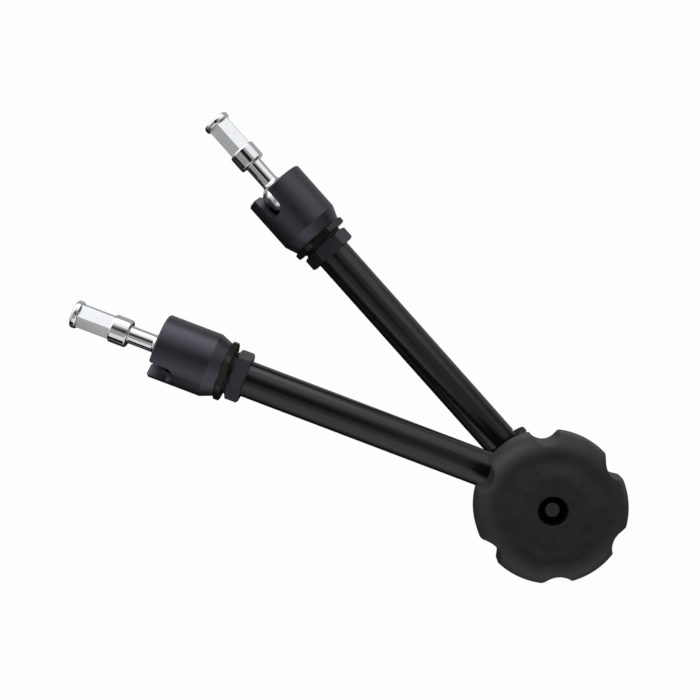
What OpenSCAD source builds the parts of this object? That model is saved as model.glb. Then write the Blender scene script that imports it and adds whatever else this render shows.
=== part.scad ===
// Articulating friction arm: two tubes hinged at a central elbow, with a ball joint and
// a 16 mm spigot at each end. One big knob locks the elbow and both ball joints at once:
// it draws two cones together on a bolt, the cones push a rod out along each tube, and
// each rod presses a cupped seat against the back of its ball.
// The origin lies on the front spigot's axis, in the middle of its collar. +X points out
// of the front spigot, and +Z along the elbow's pivot towards the knob.

/* [Arms] */
// Distance from the elbow pivot to each ball's centre
arm_l = 218.2; // [190:0.1:260]
// Distance along the pivot between the two arms' axes
arm_offset = 34; // [33:0.5:44]
// Angle between the two arms as they are set down
arm_angle = 27.5; // [10:0.5:170]
// Outside diameter of the tubes
tube_d = 20.5; // [19:0.1:21.5]
// Inside diameter of the tubes
tube_bore_d = 14; // [12:0.5:15]
// Diameter of the threaded end that screws into the elbow
tube_thread_d = 19.2; // [17:0.1:20]
// Depth of the tube's thread inside the elbow half
tube_thread_depth = 9.5; // [6:0.5:9.5]
// Length of bare thread between the lock nut and the tube's shoulder
tube_thread_gap = 2.9; // [1:0.1:5]

/* [Spigots] */
// Diameter of the collar and of the head
spigot_d = 15.88; // [14:0.01:17]
// Length of the collar
collar_l = 10.7; // [8:0.1:16]
// Chamfer on the collar's and the head's edges
spigot_chamfer = 0.8; // [0.3:0.1:1.5]
// Width across the flats of the waist between collar and head
waist_af = 12.8; // [11:0.1:13.4]
// Length of the waist
waist_l = 17.4; // [10:0.1:24]
// Length of the head, with its cone
head_l = 5; // [3.5:0.1:8]
// Length of the cone between the waist and the head
head_cone_l = 1.8; // [1:0.1:2.4]
// Diameter of the neck between ball and collar
neck_d = 10; // [8:0.1:10.6]
// Distance from the ball's centre to the collar
neck_reach = 25.4; // [24:0.1:34]
// Diameter of the shoulder that the ball sits against
shoulder_d = 11.2; // [10.6:0.1:11.2]
// Diameter of the stem inside the ball
stem_d = 8; // [6:0.1:9]

/* [Ball joints] */
// Diameter of the balls
ball_d = 23; // [22:0.1:23.4]
// Distance from the socket's face back to the ball's centre
ball_setback = 8.2; // [7:0.1:9]
// Outside diameter of the sockets
socket_d = 36.6; // [33:0.1:38]
// Length of the socket's straight part
socket_l = 30.8; // [27:0.1:36]
// Length of the socket's cone
socket_cone_l = 7.1; // [4:0.1:10]
// Diameter of the cone's small end
socket_cone_d = 31; // [28:0.1:32]
// Diameter of the mouth that holds the ball in
mouth_d = 21; // [19.5:0.1:21.6]
// Chamfer on the mouth
mouth_chamfer = 0.8; // [0.2:0.1:1.2]
// Width of the slot that lets the neck swing to a right angle
slot_w = 11; // [10.8:0.1:12]
// Depth of the slot from the socket's face to its round end
slot_depth = 15; // [14.2:0.1:18]
// Turn of the front slot about its arm, from the knob's side
front_slot_turn = 43; // [0:1:90]
// Turn of the rear slot about its arm, from the knob's side
rear_slot_turn = 27; // [0:1:90]
// Diameter of the thread that joins the end fitting to the socket
socket_thread_d = 24.9; // [24:0.1:25.2]

/* [Nuts] */
// Width across the flats of the thin jam nuts
jam_af = 31.5; // [30:0.1:33]
// Diameter to which the jam nuts' corners are turned down
jam_d = 34; // [33.2:0.1:36]
// Turn of the front jam nut's corner from the knob's side
front_jam_turn = 28; // [0:1:59]
// Turn of the rear jam nut's corner from the knob's side
rear_jam_turn = 34; // [0:1:59]
// Thickness of the jam nuts
jam_l = 3.9; // [2:0.1:5]
// Length of bare thread between the jam nut and the end fitting's hexagon
jam_gap = 1.9; // [1:0.1:5]
// Width across the flats of the end fitting's hexagon
fitting_af = 25.6; // [25.5:0.1:30]
// Diameter to which the end fitting's corners are turned down
fitting_d = 29.5; // [27.2:0.1:34]
// Length of the end fitting's hexagon
fitting_l = 8.1; // [5:0.1:12]
// Chamfer on the end fitting's hexagon
fitting_chamfer = 1.5; // [0.5:0.1:1.5]
// Turn of the front end fitting's corner from the knob's side
front_fitting_turn = 48.5; // [0:0.5:59.5]
// Turn of the rear end fitting's corner from the knob's side
rear_fitting_turn = 34; // [0:0.5:59.5]
// Depth of the pocket in the end fitting that holds the tube
fitting_pocket = 17; // [12:0.5:22]
// Width across the flats of the lock nuts at the elbow
lock_af = 28; // [25:0.1:30]
// Diameter to which the lock nuts' corners are turned down
lock_d = 31.5; // [29:0.1:32.4]
// Turn of the front lock nut's corner from the knob's side
front_lock_turn = 0; // [0:1:59]
// Turn of the rear lock nut's corner from the knob's side
rear_lock_turn = 37; // [0:1:59]
// Thickness of the lock nuts
lock_l = 3.5; // [2:0.1:6]

/* [Elbow] */
// Diameter of each elbow half's drum
drum_d = 43; // [40:0.5:44]
// Height of each drum above its arm's axis, on its outer side
drum_top = 20; // [19.5:0.5:20.5]
// Chamfer on the drum's outer edge
drum_chamfer = 2; // [0.5:0.1:3]
// Length of the boss past the drum, to the face that the lock nut bears on
boss_past = 1.8; // [1:0.1:8]
// Diameter of the boss that takes the tube
boss_d = 27.6; // [24:0.1:30]
// Diameter of the bore that the cones slide in
cone_bore_d = 22.8; // [20:0.1:23.4]
// Thickness of the floor between the two cone bores, in each half
floor_l = 5; // [3:0.1:7]
// Thickness of the friction disc
disc_l = 0.8; // [0.5:0.1:2]
// Diameter of the friction disc
disc_d = 41; // [30:0.5:41]
// Outside diameter of the pivot bush
bush_d = 13; // [11:0.1:16]
// Thickness of the cap under the elbow
cap_l = 2.5; // [1.5:0.1:2.8]
// Diameter of the cap under the elbow
cap_d = 27; // [24:0.1:30]

/* [Clamp] */
// Diameter of the clamp bolt, and of its thread
bolt_d = 8; // [6:0.1:10]
// Height of the bolt's end above the front arm's axis
bolt_top = 49; // [42:0.5:52]
// Width across the flats of the bolt's head
bolt_head_af = 13; // [11:0.1:17]
// Thickness of the bolt's head
bolt_head_l = 4.6; // [3:0.1:5]
// Cone radius where it meets the push rod
wedge_r = 8.6; // [7:0.1:8.8]
// Slope of the cones, as the half angle
wedge_slope = 14; // [8:0.5:16]
// Half length of the cones' slope
wedge_half_l = 9; // [6:0.5:9]
// Length of the cones' guided head, past the slope
cone_head_l = 2.5; // [1.5:0.1:3]
// Thickness of the thrust washer
washer_l = 2; // [1:0.1:2.4]
// Diameter of the thrust washer
washer_d = 21; // [16:0.1:22]
// Diameter of the push rods
rod_d = 8; // [6:0.1:9]
// Radius of the push rods' rounded nose
rod_nose_r = 6; // [5:0.1:9]
// Length of the bush that guides each rod in its tube
rod_bush_l = 14; // [8:0.5:20]
// Thickness of the cupped seat behind the ball
seat_l = 2.5; // [1.5:0.1:4]
// Distance from the ball's centre back to the seat's rim
seat_rim_back = 6.6; // [6:0.1:8]

/* [Knob] */
// Diameter of the knob
knob_d = 80; // [70:0.5:100]
// Height of the knob's widest line above the front arm's axis
knob_mid = 44; // [42:0.5:50]
// Radius of the rounding over the knob's edge
knob_round = 12.5; // [8:0.5:16]
// Height of the knob's underside above the front arm's axis
knob_under = 30; // [27:0.5:34]
// Height of the end of the knob's collar above the front arm's axis
knob_foot = 21.2; // [21:0.1:25]
// Diameter of the knob's collar
knob_collar_d = 30; // [26:0.5:40]
// Radius of the rounding under the knob's edge
knob_under_round = 4; // [2:0.5:6]
// Radius of the fillet between the knob's collar and its underside
knob_fillet = 4; // [2:0.5:6]
// Depth of the dish in the knob's top
dish_depth = 3; // [1:0.1:5]
// Diameter of the flat floor of the dish
dish_d = 33; // [24:0.5:40]
// Diameter of the hole in the knob's top
knob_bore_d = 15.3; // [12:0.1:17]
// Chamfer on the hole in the knob's top
knob_bore_chamfer = 0.6; // [0.2:0.1:1.5]
// How many notches the knob has
notches = 6; // [4:1:10]
// Radius of the notches
notch_r = 8.4; // [6:0.1:11]
// Depth of the notches
notch_depth = 5.5; // [3:0.1:8]
// Turn of the first notch from the front arm
notch_turn = -4.3; // [-30:0.1:30]
// Diameter of the metal hub inside the knob
hub_d = 18; // [16:0.1:22]
// Height of the hub's top above the front arm's axis
hub_top = 40; // [34:0.5:44]

/* [Fits] */
// Gap around a part that turns or slides in another
run_gap = 0.05; // [0.02:0.01:0.09]
// Gap around a part that is screwed or pressed home
seat_gap = 0.04; // [0.02:0.01:0.1]
// Gap between faces that rub or back away
face_gap = 0.2; // [0.17:0.01:0.4]

/* [Hidden] */
$fn = 96;

spigot_r = spigot_d / 2;
ball_r = ball_d / 2;
ball_gap = 2 * run_gap;
// Stations along an arm, from the pivot
elbow_x = arm_l + neck_reach + collar_l / 2;
face_x = arm_l + ball_setback;
cone_edge_x = face_x - socket_l;
cone_end_x = cone_edge_x - socket_cone_l;
jam_x = cone_end_x - jam_l;
hex_front_x = jam_x - jam_gap;
hex_rear_x = hex_front_x - fitting_l;
tube_end_x = hex_rear_x + fitting_pocket;
boss_reach = drum_d / 2 + boss_past;
tube_start_x = boss_reach - tube_thread_depth;
tube_step_x = boss_reach + lock_l + tube_thread_gap;
seat_back_x = arm_l - ball_r - seat_l;
fitting_front_x = seat_back_x - face_gap;
// Places along the pivot, measured outwards from an arm's axis
joint_h = -(arm_offset - disc_l) / 2;
floor_h = joint_h + floor_l;
cone_top_h = wedge_half_l + cone_head_l;
washer_h = cone_top_h + run_gap;
hub_foot_h = washer_h + washer_l + run_gap;
cap_h = drum_top - cap_l;
// The rod's nose just clears the cone, at right angles to its slope
nose_x = (wedge_r * cos(wedge_slope) + rod_nose_r + run_gap) / cos(wedge_slope);
rod_r = rod_d / 2;
crest_r = knob_d / 2 - knob_round;
crest_top = knob_mid + knob_round;
dish_floor = crest_top - dish_depth;
// Steps along each curve of an outline
stages = 8;
// How far a cutter runs past what it cuts
cut = 1;

// Points on a circle's arc, from one angle to another
function arc(c, r, from, to) =
    [for (i = [0 : stages]) let (a = from + (to - from) * i / stages) c + r * [cos(a), sin(a)]];

// Puts an arm's own frame, with its pivot at the origin and +X along the arm, in place
module at_front() {
    translate([-elbow_x, 0, 0]) children();
}

module at_rear() {
    translate([-elbow_x, 0, -arm_offset]) rotate([0, 0, -arm_angle]) children();
}

// As at_rear, with the side away from the other arm turned downwards
module at_rear_mirrored() {
    at_rear() mirror([0, 0, 1]) children();
}

// A solid of revolution about the arm's axis, from [station, radius] points
module turned(points) {
    rotate([90, 0, 90]) rotate_extrude() polygon([for (p = points) [p[1], p[0]]]);
}

// A round bar along the arm
module bar(x0, x1, r) {
    translate([x0, 0, 0]) rotate([0, 90, 0]) cylinder(h = x1 - x0, r = r);
}

// A hexagonal bar along the arm, with one corner turned from the knob's side
module hex_bar(x0, x1, af, turn) {
    rotate([turn, 0, 0])
        translate([x0, 0, 0])
            rotate([0, 90, 0])
                cylinder(h = x1 - x0, d = af / cos(30), $fn = 6);
}

// A hexagonal nut whose corners are turned down, with both rims chamfered
module nut(x0, x1, af, d, bevel, bore_r, turn) {
    difference() {
        intersection() {
            hex_bar(x0, x1, af, turn);
            turned([
                [x0, 0], [x0, d / 2 - bevel], [x0 + bevel / 2, d / 2],
                [x1 - bevel / 2, d / 2], [x1, d / 2 - bevel], [x1, 0]
            ]);
        }
        bar(x0 - cut, x1 + cut, bore_r);
    }
}

// Spigot: stem, shoulder, neck, collar, waist and head, turned from one steel bar
module spigot() {
    collar_x = arm_l + neck_reach;
    waist_x = collar_x + collar_l;
    head_x = waist_x + waist_l;
    end_x = head_x + head_l;
    flat_x = arm_l + sqrt(pow(ball_r, 2) - pow(shoulder_d / 2, 2)) + run_gap;
    color("gainsboro") {
        turned([
            [arm_l - ball_r * cos(asin(stem_d / ball_d)), 0],
            [arm_l - ball_r * cos(asin(stem_d / ball_d)), stem_d / 2],
            [flat_x, stem_d / 2], [flat_x, shoulder_d / 2],
            [flat_x + (shoulder_d - neck_d) / 2, neck_d / 2], [collar_x, neck_d / 2],
            [collar_x, spigot_r - spigot_chamfer], [collar_x + spigot_chamfer, spigot_r],
            [waist_x - spigot_chamfer, spigot_r], [waist_x, spigot_r - spigot_chamfer],
            [waist_x, 0]
        ]);
        hex_bar(waist_x - cut, head_x + head_cone_l, waist_af, 0);
        turned([
            [head_x, 0], [head_x, waist_af / 2], [head_x + head_cone_l, spigot_r],
            [end_x - spigot_chamfer, spigot_r], [end_x, spigot_r - spigot_chamfer], [end_x, 0]
        ]);
    }
}

// Ball: bored for the spigot's stem, with a flat for its shoulder
module ball() {
    flat_x = sqrt(pow(ball_r, 2) - pow(shoulder_d / 2, 2));
    color("silver")
        translate([arm_l, 0, 0])
            difference() {
                rotate([0, 90, 0]) sphere(r = ball_r);
                bar(-ball_r - cut, ball_r + cut, stem_d / 2 + run_gap);
                bar(flat_x, ball_r + cut, shoulder_d);
            }
}

// Cupped seat that the push rod presses against the back of the ball
module ball_seat() {
    color("goldenrod")
        difference() {
            bar(seat_back_x, arm_l - seat_rim_back, socket_thread_d / 2 - ball_gap / 2);
            translate([arm_l, 0, 0]) rotate([0, 90, 0]) sphere(r = ball_r + run_gap);
        }
}

// Socket: cup that holds the ball, with a mouth, a slot and a conical back
module socket(slot_turn) {
    bore_r = socket_thread_d / 2 + seat_gap;
    lip_r = ball_r + ball_gap;
    slot_end_x = face_x - slot_depth + slot_w / 2;
    color("dimgray")
        difference() {
            turned([
                [cone_end_x, 0], [cone_end_x, socket_cone_d / 2], [cone_edge_x, socket_d / 2],
                [face_x - mouth_chamfer, socket_d / 2], [face_x, socket_d / 2 - mouth_chamfer],
                [face_x, 0]
            ]);
            bar(cone_end_x - cut, arm_l, bore_r);
            translate([arm_l, 0, 0]) rotate([0, 90, 0]) sphere(r = lip_r);
            bar(arm_l, face_x + cut, mouth_d / 2);
            turned([
                [face_x - mouth_chamfer, 0], [face_x - mouth_chamfer, mouth_d / 2],
                [face_x + cut, mouth_d / 2 + mouth_chamfer + cut], [face_x + cut, 0]
            ]);
            rotate([-slot_turn, 0, 0]) {
                translate([slot_end_x, -slot_w / 2, 0])
                    cube([slot_depth, slot_w, socket_d]);
                translate([slot_end_x, 0, 0]) cylinder(h = socket_d, d = slot_w);
            }
        }
}

// Thin nut that locks the socket on the end fitting
module jam_nut(turn) {
    color("dimgray") nut(jam_x + seat_gap, cone_end_x - seat_gap, jam_af, jam_d, jam_l / 4,
        socket_thread_d / 2 + seat_gap, turn);
}

// End fitting: hexagon and thread, with a pocket for the tube and a guide for the rod
module end_fitting(turn) {
    color("slategray")
        difference() {
            union() {
                nut(hex_rear_x, hex_front_x, fitting_af, fitting_d, fitting_chamfer,
                    rod_r + run_gap, turn);
                bar(hex_front_x - cut, fitting_front_x, socket_thread_d / 2);
            }
            bar(hex_rear_x - cut, tube_end_x + seat_gap, tube_d / 2 + seat_gap);
            bar(tube_end_x, fitting_front_x + cut, rod_r + run_gap);
        }
}

// Tube, with a threaded end that screws into the elbow
module tube() {
    color("darkslategray")
        difference() {
            union() {
                bar(tube_start_x, tube_step_x + cut, tube_thread_d / 2);
                bar(tube_step_x, tube_end_x, tube_d / 2);
            }
            bar(tube_start_x - cut, tube_end_x + cut, tube_bore_d / 2);
        }
}

// Steel rod that carries the cone's push to the ball seat
module push_rod() {
    spread = asin(rod_r / rod_nose_r);
    color("lightsteelblue")
        turned(concat(
            [[seat_back_x - seat_gap, 0]], [[seat_back_x - seat_gap, rod_r]],
            arc([nose_x, 0], rod_nose_r, 180 - spread, 180)
        ));
}

// Bush that guides the push rod in the elbow end of its tube
module rod_bush() {
    color("darkgoldenrod")
        difference() {
            bar(tube_start_x, tube_start_x + rod_bush_l, tube_bore_d / 2 - seat_gap);
            bar(tube_start_x - cut, tube_start_x + rod_bush_l + cut, rod_r + run_gap);
        }
}

// Nut that locks the tube in the elbow half
module lock_nut(turn) {
    color("gray") nut(boss_reach + seat_gap, boss_reach + lock_l, lock_af, lock_d, lock_l / 4,
        tube_thread_d / 2 + seat_gap, turn);
}

// Elbow half: drum and boss cast in one, bored for the cone and for the tube
module elbow_half(pivot_hole_r) {
    color("dimgray")
        difference() {
            union() {
                translate([0, 0, joint_h])
                    cylinder(h = drum_top - drum_chamfer - joint_h, d = drum_d);
                translate([0, 0, drum_top - drum_chamfer])
                    cylinder(h = drum_chamfer, d1 = drum_d, d2 = drum_d - 2 * drum_chamfer);
                bar(0, boss_reach, boss_d / 2);
            }
            translate([0, 0, floor_h]) cylinder(h = arm_offset * 2, d = cone_bore_d);
            translate([0, 0, cap_h]) cylinder(h = arm_offset, d = cap_d + 2 * seat_gap);
            translate([0, 0, joint_h - cut]) cylinder(h = arm_offset, r = pivot_hole_r);
            bar(tube_start_x - seat_gap, boss_reach + cut, tube_thread_d / 2 + seat_gap);
            bar(0, boss_reach, tube_bore_d / 2);
        }
}

// Cone that slides on the bolt and wedges its arm's push rod outwards
module cone() {
    rise = wedge_half_l * tan(wedge_slope);
    color("lightslategray")
        difference() {
            union() {
                translate([0, 0, -wedge_half_l])
                    cylinder(h = 2 * wedge_half_l, r1 = wedge_r - rise, r2 = wedge_r + rise);
                translate([0, 0, wedge_half_l])
                    cylinder(h = cone_top_h - wedge_half_l, d = cone_bore_d - 2 * run_gap);
            }
            translate([0, 0, -arm_offset]) cylinder(h = 2 * arm_offset, d = bolt_d + 2 * run_gap);
        }
}

// Bolt through the elbow: its head pulls the rear cone, and the knob turns on its thread
module bolt() {
    head_z = -arm_offset - cone_top_h;
    color("silver") {
        translate([0, 0, head_z - bolt_head_l])
            cylinder(h = bolt_head_l - run_gap, d = bolt_head_af / cos(30), $fn = 6);
        translate([0, 0, head_z - cut]) cylinder(h = bolt_top - head_z + cut, d = bolt_d);
    }
}

// Bush that centres the two elbow halves on each other
module centre_bush() {
    half_l = floor_l + disc_l / 2 - face_gap;
    color("darkgoldenrod")
        translate([0, 0, -arm_offset / 2 - half_l])
            difference() {
                cylinder(h = 2 * half_l, d = bush_d);
                translate([0, 0, -cut])
                    cylinder(h = 2 * (half_l + cut), d = bolt_d + 4 * run_gap);
            }
}

// Friction disc between the elbow halves
module disc() {
    color("saddlebrown")
        translate([0, 0, -arm_offset / 2 - disc_l / 2 + run_gap])
            difference() {
                cylinder(h = disc_l - 2 * run_gap, d = disc_d);
                translate([0, 0, -cut]) cylinder(h = disc_l + 2 * cut, d = bush_d + 4 * run_gap);
            }
}

// Washer between the front cone and the knob's hub
module washer() {
    color("goldenrod")
        translate([0, 0, washer_h])
            difference() {
                cylinder(h = washer_l, d = washer_d);
                translate([0, 0, -cut]) cylinder(h = washer_l + 2 * cut, d = bolt_d + 4 * run_gap);
            }
}

// Metal hub moulded into the knob, tapped for the bolt
module hub() {
    color("silver")
        difference() {
            translate([0, 0, hub_foot_h]) cylinder(h = hub_top - hub_foot_h, d = hub_d);
            translate([0, 0, hub_foot_h - cut])
                cylinder(h = hub_top, d = bolt_d + 2 * run_gap);
        }
}

// The knob's outline from its axis outwards, without the notches
function knob_outline() = concat(
    [[hub_d / 2 + seat_gap, knob_foot], [knob_collar_d / 2, knob_foot]],
    arc([knob_collar_d / 2 + knob_fillet, knob_under - knob_fillet], knob_fillet, 180, 90),
    arc([knob_d / 2 - knob_under_round, knob_under + knob_under_round], knob_under_round, 270, 360),
    arc([crest_r, knob_mid], knob_round, 0, 90),
    [for (i = [1 : stages]) let (t = i / stages)
        [crest_r + (dish_d / 2 - crest_r) * t, crest_top - dish_depth * (1 - cos(180 * t)) / 2]],
    [[knob_bore_d / 2 + knob_bore_chamfer, dish_floor]],
    [[knob_bore_d / 2, dish_floor - knob_bore_chamfer]],
    [[knob_bore_d / 2, hub_top + seat_gap], [hub_d / 2 + seat_gap, hub_top + seat_gap]]
);

// Star knob, moulded round its metal hub
module star_knob() {
    notch_at = knob_d / 2 - notch_depth + notch_r;
    color("darkslategray")
        difference() {
            rotate_extrude($fn = 180) polygon(knob_outline());
            for (i = [0 : notches - 1])
                rotate([0, 0, notch_turn + i * 360 / notches])
                    translate([notch_at, 0, knob_foot]) cylinder(h = knob_d, r = notch_r);
        }
}

// Cap that closes the rear elbow half over the bolt's head
module end_cap() {
    color("dimgray") translate([0, 0, cap_h]) cylinder(h = cap_l, d = cap_d);
}

at_front() spigot();  // front_spigot
at_front() ball();  // front_ball
at_front() ball_seat();  // front_ball_seat
at_front() socket(front_slot_turn);  // front_socket
at_front() jam_nut(front_jam_turn);  // front_jam_nut
at_front() end_fitting(front_fitting_turn);  // front_end_fitting
at_front() tube();  // front_tube
at_front() push_rod();  // front_push_rod
at_front() rod_bush();  // front_rod_bush
at_front() lock_nut(front_lock_turn);  // front_lock_nut
at_front() elbow_half(bush_d / 2 + seat_gap);  // front_elbow_half
at_rear() spigot();  // rear_spigot
at_rear() ball();  // rear_ball
at_rear() ball_seat();  // rear_ball_seat
at_rear() socket(rear_slot_turn);  // rear_socket
at_rear() jam_nut(rear_jam_turn);  // rear_jam_nut
at_rear() end_fitting(rear_fitting_turn);  // rear_end_fitting
at_rear() tube();  // rear_tube
at_rear() push_rod();  // rear_push_rod
at_rear() rod_bush();  // rear_rod_bush
at_rear() lock_nut(rear_lock_turn);  // rear_lock_nut
at_rear_mirrored() elbow_half(bush_d / 2 + run_gap);  // rear_elbow_half
at_front() star_knob();  // knob
at_front() hub();  // knob_hub
at_front() washer();  // thrust_washer
at_front() bolt();  // clamp_bolt
at_front() cone();  // front_cone
at_rear_mirrored() cone();  // rear_cone
at_front() centre_bush();  // pivot_bush
at_front() disc();  // friction_disc
at_rear_mirrored() end_cap();  // rear_cap
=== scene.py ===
"""Dresses the articulating friction arm: its turned, milled and moulded parts, their finishes and a photo stage."""

import math

import bmesh
import bpy
from bpy.props import FloatProperty, FloatVectorProperty, PointerProperty
from mathutils import Matrix, Vector


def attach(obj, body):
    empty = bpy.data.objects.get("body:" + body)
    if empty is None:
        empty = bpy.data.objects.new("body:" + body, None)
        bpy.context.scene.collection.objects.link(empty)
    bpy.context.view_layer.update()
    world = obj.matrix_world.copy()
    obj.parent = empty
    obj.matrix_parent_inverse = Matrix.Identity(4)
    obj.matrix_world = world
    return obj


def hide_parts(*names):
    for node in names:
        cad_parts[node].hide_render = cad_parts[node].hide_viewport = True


bl_info = {
    "name": "Articulating friction arm",
    "version": (1, 0, 0),
    "blender": (4, 5, 0),
    "location": "View3D > Sidebar > Friction Arm",
    "description": "Builds the friction arm's visible parts and its photo stage round the CAD frame",
    "category": "Object",
}

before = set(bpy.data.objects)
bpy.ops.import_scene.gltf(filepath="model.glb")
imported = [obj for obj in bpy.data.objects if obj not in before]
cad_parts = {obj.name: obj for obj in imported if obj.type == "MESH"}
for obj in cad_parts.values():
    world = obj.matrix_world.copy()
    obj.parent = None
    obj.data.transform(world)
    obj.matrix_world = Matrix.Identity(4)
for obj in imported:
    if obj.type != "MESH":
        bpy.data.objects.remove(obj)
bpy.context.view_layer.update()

# Sizes in millimetres, as in the part's source. A station is a distance from the pivot along an arm
ARM_L = 218.2
ARM_OFFSET = 34.0
ARM_ANGLE = 27.5
TUBE_D = 20.5
TUBE_BORE_D = 14.0
TUBE_THREAD_D = 19.2
TUBE_THREAD_DEPTH = 9.5
TUBE_THREAD_GAP = 2.9
SPIGOT_D = 15.88
COLLAR_L = 10.7
SPIGOT_CHAMFER = 0.8
WAIST_AF = 12.8
WAIST_L = 17.4
HEAD_L = 5.0
HEAD_CONE_L = 1.8
NECK_D = 10.0
NECK_REACH = 25.4
SHOULDER_D = 11.2
STEM_D = 8.0
BALL_D = 23.0
BALL_SETBACK = 8.2
SOCKET_D = 36.6
SOCKET_L = 30.8
SOCKET_CONE_L = 7.1
SOCKET_CONE_D = 31.0
MOUTH_D = 21.0
MOUTH_CHAMFER = 0.8
SLOT_W = 11.0
SLOT_DEPTH = 15.0
SOCKET_THREAD_D = 24.9
JAM_AF = 31.5
JAM_D = 34.0
JAM_L = 3.9
JAM_GAP = 1.9
FITTING_AF = 25.6
FITTING_D = 29.5
FITTING_L = 8.1
FITTING_CHAMFER = 1.5
FITTING_POCKET = 17.0
LOCK_AF = 28.0
LOCK_D = 31.5
LOCK_L = 3.5
DRUM_D = 43.0
DRUM_TOP = 20.0
BOSS_REACH = 23.3
BOSS_D = 27.6
CONE_BORE_D = 22.8
FLOOR_L = 5.0
DISC_L = 0.8
BUSH_D = 13.0
CAP_L = 2.5
CAP_D = 27.0
BOLT_D = 8.0
BOLT_TOP = 49.0
BOLT_HEAD_AF = 13.0
BOLT_HEAD_L = 4.6
CONE_TOP = 11.5
ROD_D = 8.0
SEAT_L = 2.5
KNOB_D = 80.0
KNOB_MID = 44.0
KNOB_ROUND = 12.5
KNOB_UNDER = 30.0
KNOB_FOOT = 21.2
KNOB_COLLAR_D = 30.0
KNOB_UNDER_ROUND = 4.0
KNOB_FILLET = 4.0
DISH_DEPTH = 3.0
DISH_D = 33.0
KNOB_BORE_D = 15.3
KNOB_BORE_CHAMFER = 0.6
NOTCHES = 6
NOTCH_R = 8.4
NOTCH_DEPTH = 5.5
NOTCH_TURN = -4.3
HUB_D = 18.0
HUB_TOP = 40.0
RUN_GAP = 0.05
SEAT_GAP = 0.04
FACE_GAP = 0.2

# Stations along an arm
ELBOW_X = ARM_L + NECK_REACH + COLLAR_L / 2
FACE_X = ARM_L + BALL_SETBACK
CONE_EDGE_X = FACE_X - SOCKET_L
CONE_END_X = CONE_EDGE_X - SOCKET_CONE_L
JAM_X = CONE_END_X - JAM_L
HEX_FRONT_X = JAM_X - JAM_GAP
HEX_REAR_X = HEX_FRONT_X - FITTING_L
TUBE_END_X = HEX_REAR_X + FITTING_POCKET
TUBE_START_X = BOSS_REACH - TUBE_THREAD_DEPTH
TUBE_STEP_X = BOSS_REACH + LOCK_L + TUBE_THREAD_GAP
NOSE_X = ARM_L - BALL_D / 2 - SEAT_L - FACE_GAP
COLLAR_X = ARM_L + NECK_REACH
WAIST_X = COLLAR_X + COLLAR_L
HEAD_X = WAIST_X + WAIST_L
JOINT_H = -(ARM_OFFSET - DISC_L) / 2
CREST_TOP = KNOB_MID + KNOB_ROUND

# Each arm: the turns of its slot and of its nuts' corners from the knob's side, in degrees
ARMS = {
    "front": {"slot": 43.0, "jam": 28.0, "fitting": 48.5, "lock": 0.0},
    "rear": {"slot": 27.0, "jam": 34.0, "fitting": 34.0, "lock": 37.0},
}
MILLIMETRE = 0.001
SHRINK = Matrix.Diagonal((MILLIMETRE, MILLIMETRE, MILLIMETRE, 1))
FRONT = SHRINK @ Matrix.Translation((-ELBOW_X, 0, 0))
REAR = (
    SHRINK
    @ Matrix.Translation((-ELBOW_X, 0, -ARM_OFFSET))
    @ Matrix.Rotation(-math.radians(ARM_ANGLE), 4, "Z")
)
MIRRORED = Matrix.Diagonal((1, 1, -1, 1))
PLACES = {"front": FRONT, "rear": REAR}
# Turns a shape made along +X so that it stands along +Z
UPRIGHT = Matrix.Rotation(-math.pi / 2, 4, "Y")
# Steps round a full turn, on long bars and on wide parts
STEPS = 128
FINE_STEPS = 192
FULL_TURN = 2 * math.pi
# How far a cutter runs past what it cuts, and below what distance two points are one
CUT = 1.0
WELD = 1e-4
# The finish of each CAD node that keeps its own mesh
KEPT_NODES = {
    "bronze": ["front_ball_seat", "rear_ball_seat", "front_rod_bush", "rear_rod_bush", "thrust_washer",
               "pivot_bush"],
    "ground_steel": ["front_push_rod", "rear_push_rod", "front_cone", "rear_cone"],
    "hub_steel": ["knob_hub"],
    "friction_fibre": ["friction_disc"],
}


class FrictionArmSizes(bpy.types.PropertyGroup):
    edge_break: FloatProperty(
        name="Edge break",
        description="Radius of the broken edges on turned and milled parts, in millimetres",
        default=0.35,
        min=0.1,
        max=1.0,
    )
    thread_pitch: FloatProperty(
        name="Thread pitch",
        description="Distance between the crests of the fine threads on tubes and end fittings, in millimetres",
        default=1.0,
        min=0.5,
        max=2.0,
    )
    knob_voxel: FloatProperty(
        name="Knob mesh size",
        description="Size of the knob's faces, in millimetres",
        default=0.55,
        min=0.4,
        max=2.0,
    )
    knob_smoothing: FloatProperty(
        name="Knob lip radius",
        description="Radius to which the lips of the knob's notches are rounded, in millimetres",
        default=1.2,
        min=0.5,
        max=3.0,
    )
    lamp_power: FloatProperty(
        name="Lamp power",
        description="Share of the stage's full lamp power",
        default=1.0,
        min=0.0,
        max=3.0,
        subtype="FACTOR",
    )


def from_hex(code):
    """Linear colour of an sRGB hex value."""
    channels = [int(code[i : i + 2], 16) / 255 for i in (1, 3, 5)]
    linear = [c / 12.92 if c <= 0.04045 else ((c + 0.055) / 1.055) ** 2.4 for c in channels]
    return (*linear, 1.0)


def colour_property(name, description, code):
    return FloatVectorProperty(
        name=name, description=description, default=from_hex(code), size=4, min=0, max=1, subtype="COLOR"
    )


class FrictionArmColours(bpy.types.PropertyGroup):
    anodised: colour_property("Sockets and fittings", "Dye of the bead-blasted, anodised parts", "#0f1014")
    tube: colour_property("Tubes", "Dye of the bright anodised tubes", "#0d0c11")
    oxide: colour_property("Blackened nuts", "Colour of the thin nuts' black oxide", "#302f2c")
    casting: colour_property("Elbow", "Paint on the cast elbow halves", "#17181a")
    knob: colour_property("Knob", "Plastic of the knob", "#0a0d12")
    chrome: colour_property("Chrome", "Reflection colour of the chrome plate", "#dfe0e1")
    floor: colour_property("Floor", "Paper that the arm lies on", "#a4a4a4")


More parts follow.
